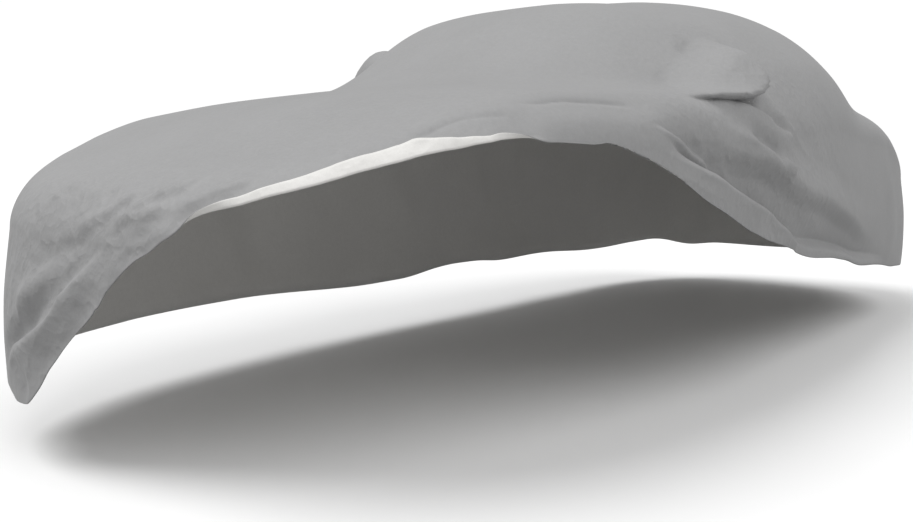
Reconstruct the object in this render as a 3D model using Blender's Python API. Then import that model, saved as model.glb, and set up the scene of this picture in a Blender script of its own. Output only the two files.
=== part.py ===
"""Fitted cover for a two-door car, pulled back from one front corner.

The cover is one sheet of soft cloth.  It is worked out in three steps:

1. a flat pattern, whose edge is the hem table below,
2. a drape, which carries each point of the pattern onto the shape that the
   cloth takes over roof, bonnet, boot and sides, with its folds and the two
   bulges over the door mirrors,
3. a shell, which gives the draped sheet its thickness, with the turned-back
   strip along the front hem as the same sheet carried on round its fold.

Lengths are in metres and +Z is up.  While the shape is worked out, the ground
is at Z = 0 and Y = 0 is above the front axle, with the nose towards -Y.  The
finished part has its origin on the underside of the cover, where it rests on
the middle of the roof.
"""

from collections import namedtuple

import bpy
import numpy as np

# --- Cloth ----------------------------------------------------------------

CLOTH_THICKNESS = 0.003
CLOTH_COLOUR = (0.36, 0.36, 0.365, 1.0)
CLOTH_ROUGHNESS = 0.85

# --- Plan outline at shoulder height ----------------------------------------

NOSE_Y = -0.741
TAIL_Y = 3.888
WIDEST_Y = 1.50
HALF_WIDTH = 0.930
NOSE_SQUARENESS = 3.62
TAIL_SQUARENESS = 3.89
OUTLINE_SAMPLES = 600
OUTLINE_START_ANGLE = 0.0001
BRACKET_STEPS = 4
ROOT_STEPS = 3
LEAST_GAP = 1e-12

# --- Heights along the middle of the car -------------------------------------

HeightRow = namedtuple("HeightRow", "y height")

BODY_HEIGHTS = (
    HeightRow(-0.90, 0.581),
    HeightRow(-0.70, 0.701),
    HeightRow(-0.45, 0.817),
    HeightRow(-0.10, 0.946),
    HeightRow(0.35, 0.989),
    HeightRow(0.90, 1.004),
    HeightRow(1.60, 1.003),
    HeightRow(2.40, 1.022),
    HeightRow(3.00, 0.989),
    HeightRow(3.50, 0.989),
    HeightRow(3.75, 1.006),
    HeightRow(3.95, 0.943),
)

CABIN_HEIGHTS = (
    HeightRow(-0.50, 0.551),
    HeightRow(0.15, 0.902),
    HeightRow(0.45, 1.075),
    HeightRow(0.80, 1.289),
    HeightRow(1.15, 1.355),
    HeightRow(1.50, 1.401),
    HeightRow(1.90, 1.407),
    HeightRow(2.30, 1.366),
    HeightRow(2.75, 1.189),
    HeightRow(3.20, 1.031),
    HeightRow(4.00, 0.599),
)

BODY_CAMBER = 0.052
BODY_CAMBER_POWER = 2.4
CABIN_SIDE_DROP = 0.362
CABIN_HALF_WIDTH = 0.896
CABIN_SIDE_POWER = 3.67
REAR_GLASS_BOW = 0.471
REAR_GLASS_BOW_START = 1.70
REAR_GLASS_BOW_EASE = 0.50
CABIN_BLEND = 0.070

# --- Shoulder and hanging wall -----------------------------------------------

ShoulderRow = namedtuple("ShoulderRow", "y radius")

SHOULDER_RADII = (
    ShoulderRow(-0.90, 0.098),
    ShoulderRow(0.00, 0.135),
    ShoulderRow(0.80, 0.129),
    ShoulderRow(2.60, 0.129),
    ShoulderRow(3.40, 0.269),
    ShoulderRow(3.95, 0.269),
)

FlareRow = namedtuple("FlareRow", "hang outward")

WALL_FLARE = (
    FlareRow(0.00, 0.000),
    FlareRow(0.20, 0.024),
    FlareRow(0.45, 0.021),
    FlareRow(0.60, -0.010),
    FlareRow(0.80, -0.040),
)

# --- Hem on the flat pattern ---------------------------------------------------
# One row for each turn of the hem, going round from the nose's right corner.
# x and y are on the flat pattern, which keeps the plan position on top and
# unrolls each hanging wall straight out from the plan outline.

HemRow = namedtuple("HemRow", "x y corner")

HEM = (
    HemRow(-1.020, -0.906, "nose_right"),
    HemRow(-0.800, -1.066, ""),
    HemRow(-0.620, -1.130, ""),
    HemRow(-0.505, -1.168, ""),
    HemRow(-0.440, -1.194, ""),
    HemRow(-0.370, -1.203, ""),
    HemRow(-0.304, -1.200, ""),
    HemRow(-0.206, -1.154, ""),
    HemRow(-0.120, -1.084, ""),
    HemRow(-0.030, -1.011, ""),
    HemRow(0.064, -0.943, ""),
    HemRow(0.129, -0.882, ""),
    HemRow(0.214, -0.819, ""),
    HemRow(0.277, -0.785, ""),
    HemRow(0.376, -0.719, ""),
    HemRow(0.459, -0.670, ""),
    HemRow(0.534, -0.619, ""),
    HemRow(0.598, -0.563, ""),
    HemRow(0.648, -0.502, ""),
    HemRow(0.707, -0.412, ""),
    HemRow(0.762, -0.320, ""),
    HemRow(0.814, -0.225, ""),
    HemRow(0.852, -0.157, ""),
    HemRow(0.890, -0.078, ""),
    HemRow(0.926, 0.034, "nose_left"),
    HemRow(0.934, 0.090, ""),
    HemRow(0.956, 0.153, ""),
    HemRow(1.022, 0.302, ""),
    HemRow(1.068, 0.390, ""),
    HemRow(1.134, 0.510, ""),
    HemRow(1.195, 0.660, ""),
    HemRow(1.262, 0.838, ""),
    HemRow(1.333, 1.097, ""),
    HemRow(1.400, 1.340, ""),
    HemRow(1.470, 1.641, ""),
    HemRow(1.512, 2.100, ""),
    HemRow(1.522, 2.635, ""),
    HemRow(1.490, 3.000, ""),
    HemRow(1.368, 3.544, ""),
    HemRow(1.005, 4.239, "tail_left"),
    HemRow(0.450, 4.470, ""),
    HemRow(-0.450, 4.470, ""),
    HemRow(-1.005, 4.239, "tail_right"),
    HemRow(-1.377, 3.558, ""),
    HemRow(-1.563, 2.746, ""),
    HemRow(-1.637, 1.594, ""),
    HemRow(-1.566, 0.463, ""),
    HemRow(-1.420, -0.300, ""),
)

HEM_CURVE_STEPS = 40

# --- Edge strip of the front hem --------------------------------------------------
# The last of the cloth along the front hem.  share runs along that hem, from
# the nose's right corner to its left one.  turn is 0 where the strip hangs on
# straight and 1 where it is folded right back over the outer face.

StripRow = namedtuple("StripRow", "share width turn")

EDGE_STRIP = (
    StripRow(0.00, 0.008, 0.0),
    StripRow(0.60, 0.008, 0.0),
    StripRow(0.64, 0.009, 0.6),
    StripRow(0.67, 0.012, 1.0),
    StripRow(0.73, 0.025, 1.0),
    StripRow(0.79, 0.033, 1.0),
    StripRow(0.815, 0.038, 1.0),
    StripRow(0.85, 0.018, 1.0),
    StripRow(0.88, 0.009, 1.0),
    StripRow(0.91, 0.008, 0.5),
    StripRow(0.95, 0.008, 0.0),
    StripRow(1.00, 0.008, 0.0),
)

TURN_RADIUS = 0.004
TURN_ARC_STEPS = 3
LEAST_TURN_ANGLE = 0.001
STRIP_STEPS = 2
HEM_EASE_ROWS = 6
STRIP_TAPER_SHARE = 0.06
LEAST_TAPER = 0.03

# --- Folds ------------------------------------------------------------------------
# A fold runs along its points on the flat pattern.  Its height is out of the
# cloth for a ridge and below zero for a trough, its width is from the middle
# to where it has all but died away on its left.  steep is the share of that
# width in which it dies away on its right.  fade_in and fade_out are the
# shares of its length in which it rises at its start and sinks at its end.

Fold = namedtuple("Fold", "name height width steep fade_in fade_out points")

FOLD_CURVE_STEPS = 8

FOLDS = (
    Fold("nose_valley", -0.024, 0.058, 1.0, 0.35, 0.45,
         ((-0.680, -1.070), (-0.520, -1.060), (-0.392, -1.036), (-0.282, -1.004),
          (-0.209, -0.963), (-0.160, -0.927), (-0.114, -0.893), (-0.070, -0.855),
          (-0.020, -0.820))),
    Fold("nose_edge", 0.022, 0.105, 0.26, 0.40, 0.30,
         ((0.200, -0.745), (0.125, -0.790), (0.065, -0.838), (-0.005, -0.888),
          (-0.060, -0.935), (-0.115, -0.985), (-0.190, -1.022), (-0.300, -1.050),
          (-0.440, -1.068), (-0.600, -1.075))),
    Fold("nose_ridge", 0.012, 0.052, 1.0, 0.25, 0.25,
         ((-0.380, -0.965), (-0.268, -0.922), (-0.200, -0.907), (-0.108, -0.866),
          (-0.030, -0.820))),
    Fold("nose_second_valley", -0.004, 0.030, 1.0, 0.15, 0.50,
         ((0.110, -0.725), (0.054, -0.756), (0.004, -0.781), (-0.091, -0.826),
          (-0.220, -0.880))),
    Fold("nose_hem_roll", -0.012, 0.055, 1.0, 0.35, 0.25,
         ((0.110, -0.885), (0.055, -0.924), (0.002, -0.956), (-0.055, -1.010),
          (-0.146, -1.068), (-0.220, -1.100))),
    Fold("bonnet_dip", -0.005, 0.050, 1.0, 0.25, 0.25,
         ((0.660, -0.400), (0.693, -0.354), (0.717, -0.298), (0.762, -0.247),
          (0.797, -0.177), (0.850, -0.090))),
    Fold("bonnet_line", -0.006, 0.060, 1.0, 0.25, 0.25,
         ((0.750, -0.180), (0.800, -0.020), (0.850, 0.200), (0.850, 0.480))),
    Fold("wing_ridge", 0.024, 0.100, 0.22, 0.10, 0.35,
         ((1.360, 1.280), (1.322, 1.155), (1.262, 1.070), (1.222, 1.010),
          (1.188, 0.886), (1.131, 0.730), (1.079, 0.596), (1.045, 0.503),
          (1.011, 0.427), (0.965, 0.330), (0.930, 0.250))),
    Fold("wing_trough", -0.052, 0.175, 0.24, 0.12, 0.30,
         ((0.925, 0.260), (0.975, 0.385), (1.010, 0.475), (1.048, 0.575),
          (1.100, 0.715), (1.155, 0.875), (1.190, 0.990), (1.235, 1.080),
          (1.300, 1.240), (1.360, 1.440), (1.420, 1.720), (1.455, 2.050),
          (1.475, 2.400), (1.485, 2.750))),
    Fold("door_roll", 0.026, 0.120, 0.55, 0.20, 0.35,
         ((0.930, 0.500), (0.990, 0.680), (1.026, 0.820), (1.055, 0.978),
          (1.095, 1.124), (1.161, 1.298), (1.227, 1.524), (1.302, 1.800),
          (1.351, 2.098), (1.420, 2.455))),
    Fold("far_side_fold_1", 0.022, 0.160, 1.0, 0.25, 0.25,
         ((-0.950, 0.300), (-1.200, 0.420), (-1.520, 0.500))),
    Fold("far_side_fold_2", -0.022, 0.180, 1.0, 0.25, 0.25,
         ((-0.980, 1.100), (-1.240, 1.340), (-1.560, 1.500))),
    Fold("far_side_fold_3", 0.024, 0.170, 1.0, 0.25, 0.25,
         ((-0.970, 2.050), (-1.220, 2.200), (-1.540, 2.360))),
    Fold("tail_fold_1", 0.022, 0.150, 1.0, 0.25, 0.25,
         ((-0.450, 3.850), (-0.520, 4.100), (-0.600, 4.360))),
    Fold("tail_fold_2", 0.024, 0.160, 1.0, 0.25, 0.25,
         ((0.380, 3.850), (0.360, 4.120), (0.300, 4.420))),
    Fold("near_side_fold", 0.008, 0.160, 1.0, 0.25, 0.25,
         ((0.980, 2.450), (1.180, 2.620), (1.480, 2.820))),
)

# --- Bulges over the door mirrors -----------------------------------------------------
# A bulge is carried out and up where a mirror stands.  Its reaches are on the
# flat pattern, tilt turns its lower edge, and squareness 2 makes it an oval.

Bulge = namedtuple("Bulge", "name x y out up front_reach rear_reach top_reach low_reach"
                            " tilt squareness firmness")

BULGES = (
    Bulge("near_mirror", 0.810, 0.985, 0.088, 0.006, 0.40, 0.175, 0.140, 0.070, 0.01, 2.3, 1.55),
    Bulge("far_mirror", -0.840, 1.120, -0.100, 0.130, 0.19, 0.230, 0.210, 0.190, 0.00, 2.3, 1.50),
)

# --- Mesh ----------------------------------------------------------------------------------

LENGTH_STEPS = 60
GIRTH_STEPS = 42
CROWDING_SAMPLES = 2001
LENGTH_CROWDING = ((0.0, 2.6), (0.12, 2.2), (0.45, 1.9), (0.60, 1.1), (1.0, 1.0))
GIRTH_CROWDING = ((0.0, 1.0), (0.18, 1.0), (0.32, 2.2), (0.75, 1.6), (0.85, 2.4), (1.0, 2.6))
EASED_ROWS = 20
EASED_COLUMNS = 12
EASING_PASSES = 100
NORMAL_PROBE = 0.004


def smooth_step(value):
    """Ease a value from 0 to 1, level at both ends."""
    clipped = np.clip(value, 0.0, 1.0)
    return clipped * clipped * (3.0 - 2.0 * clipped)


def read_rows(rows, x):
    """Read a two-column table with a smooth curve through its rows."""
    table = np.array(rows, dtype=float)
    knots, values = table[:, 0], table[:, 1]
    x = np.clip(x, knots[0], knots[-1])
    gaps = np.diff(knots)
    rises = np.diff(values)
    slopes = np.empty_like(values)
    slopes[1:-1] = (rises[:-1] + rises[1:]) / (gaps[:-1] + gaps[1:])
    slopes[0] = rises[0] / gaps[0]
    slopes[-1] = rises[-1] / gaps[-1]
    i = np.clip(np.searchsorted(knots, x, side="right") - 1, 0, len(gaps) - 1)
    t = (x - knots[i]) / gaps[i]
    return ((1 + 2 * t) * (1 - t) ** 2 * values[i]
            + t * (1 - t) ** 2 * gaps[i] * slopes[i]
            + t * t * (3 - 2 * t) * values[i + 1]
            + t * t * (t - 1) * gaps[i] * slopes[i + 1])


def curve_through(points, steps, closed=False):
    """Carry a smooth curve through points, with steps samples to each span."""
    points = np.array(points, dtype=float)
    spans = len(points) if closed else len(points) - 1
    t = np.linspace(0.0, 1.0, steps, endpoint=False)[:, None]
    pieces = []
    for i in range(spans):
        if closed:
            before, start, end, after = (points[(i + k) % len(points)] for k in (-1, 0, 1, 2))
        else:
            start, end = points[i], points[i + 1]
            before = points[i - 1] if i else 2 * start - end
            after = points[i + 2] if i + 2 < len(points) else 2 * end - start
        pieces.append(0.5 * (2 * start + (end - before) * t
                             + (2 * before - 5 * start + 4 * end - after) * t ** 2
                             + (3 * start - before - 3 * end + after) * t ** 3))
    pieces.append(points[:1] if closed else points[-1:])
    return np.vstack(pieces)


def plan_outline():
    """Return the points and outward directions of the plan outline."""
    angle = np.linspace(0.0, 2.0 * np.pi, 4 * OUTLINE_SAMPLES, endpoint=False) + OUTLINE_START_ANGLE
    along, across = np.cos(angle), np.sin(angle)
    power = np.where(along > 0, NOSE_SQUARENESS, TAIL_SQUARENESS)
    reach = np.where(along > 0, WIDEST_Y - NOSE_Y, TAIL_Y - WIDEST_Y)
    x = HALF_WIDTH * np.sign(across) * np.abs(across) ** (2.0 / power)
    y = WIDEST_Y - reach * np.sign(along) * np.abs(along) ** (2.0 / power)
    raw = np.column_stack([x, y])
    raw = np.vstack([raw, raw[:1]])
    travelled = np.r_[0.0, np.cumsum(np.linalg.norm(np.diff(raw, axis=0), axis=1))]
    even = np.linspace(0.0, travelled[-1], OUTLINE_SAMPLES, endpoint=False)
    points = np.column_stack([np.interp(even, travelled, raw[:, k]) for k in (0, 1)])
    tangent = np.roll(points, -1, axis=0) - np.roll(points, 1, axis=0)
    tangent /= np.linalg.norm(tangent, axis=1)[:, None]
    return points, np.column_stack([tangent[:, 1], -tangent[:, 0]])


OUTLINE_POINTS, OUTLINE_DIRECTIONS = plan_outline()


def past_normal(flat, i, share):
    """Return foot, direction and how far each point lies along from that direction."""
    j = (i + 1) % OUTLINE_SAMPLES
    share = share[:, None]
    foot = (1.0 - share) * OUTLINE_POINTS[i] + share * OUTLINE_POINTS[j]
    direction = (1.0 - share) * OUTLINE_DIRECTIONS[i] + share * OUTLINE_DIRECTIONS[j]
    direction /= np.linalg.norm(direction, axis=1)[:, None]
    offset = flat - foot
    along = offset[:, 1] * direction[:, 0] - offset[:, 0] * direction[:, 1]
    return foot, direction, along


def nearest_on_outline(flat):
    """Return the nearest outline point, its direction and the distance past it."""
    gaps = ((flat[:, None, :] - OUTLINE_POINTS[None]) ** 2).sum(axis=2)
    i = gaps.argmin(axis=1)
    low, high = np.zeros(len(flat)), np.ones(len(flat))
    for _ in range(BRACKET_STEPS):
        at_low = past_normal(flat, i, low)[2]
        at_high = past_normal(flat, i, high)[2]
        i = (i + (at_high > 0.0).astype(int) - (at_low < 0.0).astype(int)) % OUTLINE_SAMPLES
    at_low = past_normal(flat, i, low)[2]
    at_high = past_normal(flat, i, high)[2]
    for _ in range(ROOT_STEPS):
        share = low + (high - low) * at_low / np.maximum(at_low - at_high, LEAST_GAP)
        share = np.clip(share, 0.0, 1.0)
        foot, direction, along = past_normal(flat, i, share)
        before = along > 0.0
        low, at_low = np.where(before, share, low), np.where(before, along, at_low)
        high, at_high = np.where(before, high, share), np.where(before, at_high, along)
    past = ((flat - foot) * direction).sum(axis=1)
    return foot, direction, past


def top_height(x, y):
    """Return the height of the cloth over the car's top at a plan point."""
    body = read_rows(BODY_HEIGHTS, y)
    body = body - BODY_CAMBER * (np.abs(x) / HALF_WIDTH) ** BODY_CAMBER_POWER
    bow = np.tanh((y - REAR_GLASS_BOW_START) / REAR_GLASS_BOW_EASE)
    cabin = read_rows(CABIN_HEIGHTS, y + REAR_GLASS_BOW * x * x * bow)
    cabin = cabin - CABIN_SIDE_DROP * (np.abs(x) / CABIN_HALF_WIDTH) ** CABIN_SIDE_POWER
    return 0.5 * (body + cabin + np.sqrt((body - cabin) ** 2 + CABIN_BLEND ** 2))


def hang(flat):
    """Carry pattern points onto the smooth form: top, shoulder and wall."""
    foot, direction, past = nearest_on_outline(flat)
    radius = read_rows(SHOULDER_RADII, foot[:, 1])
    turn = np.clip((past + radius) / radius, 0.0, 0.5 * np.pi)
    on_top = past < -radius
    wall = np.clip(past + radius - 0.5 * np.pi * radius, 0.0, None)
    rounded = foot + direction * (radius * np.sin(turn) - radius)[:, None]
    plan = np.where(on_top[:, None], flat, rounded)
    height = top_height(plan[:, 0], plan[:, 1]) - radius * (1.0 - np.cos(turn)) - wall
    plan = plan + direction * read_rows(WALL_FLARE, wall)[:, None]
    return np.column_stack([plan, height])


def form_normals(flat):
    """Return the outward directions of the smooth form at pattern points."""
    east = hang(flat + (NORMAL_PROBE, 0.0)) - hang(flat - (NORMAL_PROBE, 0.0))
    north = hang(flat + (0.0, NORMAL_PROBE)) - hang(flat - (0.0, NORMAL_PROBE))
    normal = np.cross(east, north)
    return normal / np.linalg.norm(normal, axis=1)[:, None]


def fold_height(flat, fold):
    """Return how far one fold lifts the cloth at pattern points."""
    path = curve_through(fold.points, FOLD_CURVE_STEPS)
    starts, edges = path[:-1], np.diff(path, axis=0)
    lengths = np.linalg.norm(edges, axis=1)
    travelled = np.r_[0.0, np.cumsum(lengths)]
    offset = flat[:, None, :] - starts[None]
    share = np.clip((offset * edges[None]).sum(axis=2) / lengths ** 2, 0.0, 1.0)
    gap = np.linalg.norm(offset - share[:, :, None] * edges[None], axis=2)
    i = gap.argmin(axis=1)
    rows = np.arange(len(flat))
    along = (travelled[i] + share[rows, i] * lengths[i]) / travelled[-1]
    turned = edges[i, 0] * offset[rows, i, 1] - edges[i, 1] * offset[rows, i, 0]
    side = gap[rows, i] / np.where(turned < 0, fold.steep * fold.width, fold.width)
    ends = smooth_step(along / fold.fade_in) * smooth_step((1.0 - along) / fold.fade_out)
    return fold.height * ends * smooth_step(1.0 - side)


def bulge_share(flat, bulge):
    """Return how fully a mirror's bulge carries the cloth at pattern points."""
    along = flat[:, 1] - bulge.y
    out = (flat[:, 0] - bulge.x) * np.sign(bulge.x) - bulge.tilt * along
    along = np.abs(along) / np.where(along < 0, bulge.front_reach, bulge.rear_reach)
    out = np.abs(out) / np.where(out < 0, bulge.top_reach, bulge.low_reach)
    distance = (along ** bulge.squareness + out ** bulge.squareness) ** (1.0 / bulge.squareness)
    return smooth_step(bulge.firmness * (1.0 - distance))


def drape(flat):
    """Carry pattern points onto the draped cloth, with its folds and bulges."""
    points = hang(flat)
    lift = sum(fold_height(flat, fold) for fold in FOLDS)
    points = points + form_normals(flat) * lift[:, None]
    for bulge in BULGES:
        push = np.array((bulge.out, 0.0, bulge.up))
        points = points + bulge_share(flat, bulge)[:, None] * push
    return points


def hem_sides():
    """Return the hem as four curves, each with its points at even shares."""
    curve = curve_through([(row.x, row.y) for row in HEM], HEM_CURVE_STEPS, closed=True)
    corners = [i * HEM_CURVE_STEPS for i, row in enumerate(HEM) if row.corner]
    corners.append(len(curve) - 1)
    sides = []
    for start, end in zip(corners[:-1], corners[1:]):
        points = curve[start:end + 1]
        travelled = np.r_[0.0, np.cumsum(np.linalg.norm(np.diff(points, axis=0), axis=1))]
        sides.append((travelled / travelled[-1], points))
    return sides


def side_points(side, shares):
    """Return the points of one hem side at the given shares of its length."""
    travelled, points = side
    return np.column_stack([np.interp(shares, travelled, points[:, k]) for k in (0, 1)])


def crowded(steps, crowding):
    """Return shares from 0 to 1 that lie as closely as a table says."""
    even = np.linspace(0.0, 1.0, CROWDING_SAMPLES)
    density = np.interp(even, [row[0] for row in crowding], [row[1] for row in crowding])
    count = np.r_[0.0, np.cumsum(0.5 * (density[1:] + density[:-1]))]
    return np.interp(np.linspace(0.0, count[-1], steps + 1), count, even)


def pattern_grid():
    """Return the flat pattern as a grid, nose to tail and right to left."""
    front, left, tail, right = hem_sides()
    u = crowded(LENGTH_STEPS, LENGTH_CROWDING)
    v = crowded(GIRTH_STEPS, GIRTH_CROWDING)
    near = side_points(front, v)
    far = side_points(tail, 1.0 - v)
    port = side_points(right, 1.0 - u)
    starboard = side_points(left, u)
    across = v[None, :, None]
    down = u[:, None, None]
    return ((1 - down) * near[None] + down * far[None]
            + (1 - across) * port[:, None] + across * starboard[:, None]
            - (1 - down) * (1 - across) * near[0] - (1 - down) * across * near[-1]
            - down * (1 - across) * far[0] - down * across * far[-1])


def sheet_normals(flat):
    """Return the outward directions of the draped cloth at pattern points."""
    east = drape(flat + (NORMAL_PROBE, 0.0)) - drape(flat - (NORMAL_PROBE, 0.0))
    north = drape(flat + (0.0, NORMAL_PROBE)) - drape(flat - (0.0, NORMAL_PROBE))
    normal = np.cross(east, north)
    return normal / np.linalg.norm(normal, axis=1)[:, None]


def strip_values(shares, column):
    """Return one column of the edge strip's table at shares of the front hem."""
    return np.interp(shares, [row.share for row in EDGE_STRIP],
                     [getattr(row, column) for row in EDGE_STRIP])


def strip_taper(shares):
    """Return how much of the strip is left near the two ends of the front hem."""
    ends = smooth_step(shares / STRIP_TAPER_SHARE) * smooth_step((1.0 - shares) / STRIP_TAPER_SHARE)
    return np.clip(ends, LEAST_TAPER, 1.0)


def inward_directions(edge):
    """Return the directions from the pattern's front edge into the cloth."""
    tangent = np.gradient(edge, axis=0)
    tangent /= np.linalg.norm(tangent, axis=1)[:, None]
    return np.column_stack([-tangent[:, 1], tangent[:, 0]])


def draw_in_front(pattern, allowance):
    """Draw the pattern's front edge in by the cloth that its strip adds again."""
    inward = inward_directions(pattern[0])
    for i in range(HEM_EASE_ROWS):
        pattern[i] += inward * (allowance * (1.0 - i / HEM_EASE_ROWS))[:, None]
    return pattern


def eased_grid(pattern):
    """Even out the grid where the front hem runs on into the left one."""
    block = pattern[:EASED_ROWS, -EASED_COLUMNS:]
    for _ in range(EASING_PASSES):
        sides = block[:-2, 1:-1] + block[2:, 1:-1] + block[1:-1, :-2] + block[1:-1, 2:]
        block[1:-1, 1:-1] = 0.5 * block[1:-1, 1:-1] + 0.125 * sides
    return pattern


def turned_strip(edge, normal, width, turn):
    """Return the strip's rows and outward directions where it turns back."""
    tangent = np.gradient(edge, axis=0)
    outward = np.cross(tangent, normal)
    outward /= np.linalg.norm(outward, axis=1)[:, None]
    angle = np.maximum(turn * np.pi, LEAST_TURN_ANGLE)
    reach = (np.pi * TURN_RADIUS / angle)[:, None]
    rows, directions = [], []
    for step in range(1, TURN_ARC_STEPS + 1):
        bend = (angle * step / TURN_ARC_STEPS)[:, None]
        rows.append(edge + (outward * np.sin(bend) + normal * (1.0 - np.cos(bend))) * reach)
        directions.append(normal * np.cos(bend) - outward * np.sin(bend))
    heading = outward * np.cos(angle)[:, None] + normal * np.sin(angle)[:, None]
    for step in range(1, STRIP_STEPS + 1):
        out = (width * step / STRIP_STEPS)[:, None]
        rows.append(rows[TURN_ARC_STEPS - 1] + heading * out)
        directions.append(directions[TURN_ARC_STEPS - 1])
    return np.array(rows), np.array(directions)


def edge_strip(front, edge, normal, width, turn, taper):
    """Return the strip's rows and outward directions, from its free edge in."""
    turned, directions = turned_strip(edge, normal, width, turn)
    arc = np.pi * TURN_RADIUS
    reaches = [arc * step / TURN_ARC_STEPS for step in range(1, TURN_ARC_STEPS + 1)]
    reaches += [arc + width * step / STRIP_STEPS for step in range(1, STRIP_STEPS + 1)]
    outward = -inward_directions(front)
    hanging = [drape(front + outward * (reach * taper)[:, None]) for reach in reaches]
    share = smooth_step(2.0 * turn)[None, :, None]
    rows = share * turned + (1.0 - share) * np.array(hanging)
    return rows[::-1], directions[::-1]


def draped_sheet():
    """Return the sheet's inner face and outward directions, strip first."""
    shares = crowded(GIRTH_STEPS, GIRTH_CROWDING)
    width = strip_values(shares, "width")
    turn = strip_values(shares, "turn")
    taper = strip_taper(shares)
    allowance = (width + np.pi * TURN_RADIUS) * (1.0 - turn) * taper
    pattern = eased_grid(draw_in_front(pattern_grid(), allowance))
    flat = pattern.reshape(-1, 2)
    body = drape(flat).reshape(pattern.shape[:2] + (3,))
    normals = sheet_normals(flat).reshape(body.shape)
    strip, strip_directions = edge_strip(pattern[0], body[0], normals[0], width, turn, taper)
    return np.concatenate([strip, body]), np.concatenate([strip_directions, normals])


def shell_mesh(name, inner, directions):
    """Build a closed mesh from a sheet's inner face and the cloth's thickness."""
    outer = inner + directions * CLOTH_THICKNESS
    rows, columns = inner.shape[:2]
    count = rows * columns
    points = np.concatenate([inner.reshape(-1, 3), outer.reshape(-1, 3)])
    points -= (0.0, WIDEST_Y, float(top_height(np.array(0.0), np.array(WIDEST_Y))))
    index = np.arange(count).reshape(rows, columns)
    quads = []
    for i in range(rows - 1):
        for j in range(columns - 1):
            a, b = index[i, j], index[i, j + 1]
            c, d = index[i + 1, j + 1], index[i + 1, j]
            quads.append((a, d, c, b))
            quads.append((a + count, b + count, c + count, d + count))
    rim = list(index[0, :]) + list(index[1:, -1]) + list(index[-1, -2::-1]) + list(index[-2:0:-1, 0])
    for a, b in zip(rim, rim[1:] + rim[:1]):
        quads.append((a, b, b + count, a + count))
    mesh = bpy.data.meshes.new(name)
    mesh.from_pydata(points.tolist(), [], [tuple(int(k) for k in quad) for quad in quads])
    mesh.validate()
    mesh.update()
    return mesh


def cloth_material():
    """Return the grey cloth's material."""
    material = bpy.data.materials.new("outer_cloth")
    material.use_nodes = True
    shader = material.node_tree.nodes["Principled BSDF"]
    shader.inputs["Base Color"].default_value = CLOTH_COLOUR
    shader.inputs["Roughness"].default_value = CLOTH_ROUGHNESS
    shader.inputs["Metallic"].default_value = 0.0
    return material


def main():
    """Clear the scene and build the cover."""
    for item in list(bpy.data.objects):
        bpy.data.objects.remove(item, do_unlink=True)
    mesh = shell_mesh("cover_cloth", *draped_sheet())
    mesh.shade_smooth()
    cover = bpy.data.objects.new("cover_cloth", mesh)
    bpy.context.scene.collection.objects.link(cover)
    cover.data.materials.append(cloth_material())


main()
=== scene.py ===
"""Looks of a fitted car cover: one sheet of soft laid-fibre cloth, drawn back.

The sheet is worked out on a flat pattern and then draped, as in the part's own
source, but with a finer mesh, the small folds and the finish of the cloth.
Lengths are in metres.  Inside the classes the ground is at Z = 0 and the nose,
the cover's front end, points towards -Y; `ROW_SHIFT` carries the finished
points into the row frame, whose origin is under the cover's highest part.
"""

import logging
import math
from dataclasses import dataclass, field
from enum import Enum
from typing import Callable, NamedTuple, Sequence

import bpy
import numpy as np
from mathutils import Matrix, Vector


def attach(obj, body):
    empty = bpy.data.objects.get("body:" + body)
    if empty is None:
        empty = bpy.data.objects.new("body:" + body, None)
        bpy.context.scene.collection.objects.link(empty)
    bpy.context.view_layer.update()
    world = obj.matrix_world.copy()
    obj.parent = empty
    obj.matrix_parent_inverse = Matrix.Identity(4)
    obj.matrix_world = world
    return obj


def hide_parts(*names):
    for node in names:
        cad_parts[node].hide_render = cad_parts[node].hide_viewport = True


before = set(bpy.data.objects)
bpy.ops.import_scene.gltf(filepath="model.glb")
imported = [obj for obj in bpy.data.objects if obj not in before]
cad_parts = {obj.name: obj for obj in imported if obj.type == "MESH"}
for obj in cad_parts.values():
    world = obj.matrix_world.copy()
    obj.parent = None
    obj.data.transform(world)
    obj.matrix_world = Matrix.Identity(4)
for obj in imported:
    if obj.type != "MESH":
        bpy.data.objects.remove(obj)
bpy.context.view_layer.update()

LOG = logging.getLogger("car_cover")

ROW_SHIFT = np.array((0.0, -1.50, -1.404))
"""Carries points from the ground's frame into the row frame."""

CHUNK = 6000
"""How many pattern points are worked on at once."""

NOISE_CELLS = 256
"""Cells across the noise that follows the long hem."""

CROWDING_SAMPLES = 2001
"""Places at which a table of crowding is read."""

LEAST_GAP = 1e-12
"""The least value that anything is divided by."""

LIP_POWER = 1.5
"""How hollow the slow side of a lip is."""

CREASED = "creased"
"""Name of the mesh's layer that says how finely creased the cloth is."""

Points = Sequence[tuple[float, float]]


# --- Curves and noise ---------------------------------------------------------


def smooth_step(value: np.ndarray) -> np.ndarray:
    """Ease values from 0 to 1, level at both ends."""
    clipped = np.clip(value, 0.0, 1.0)
    return clipped * clipped * (3.0 - 2.0 * clipped)


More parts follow.
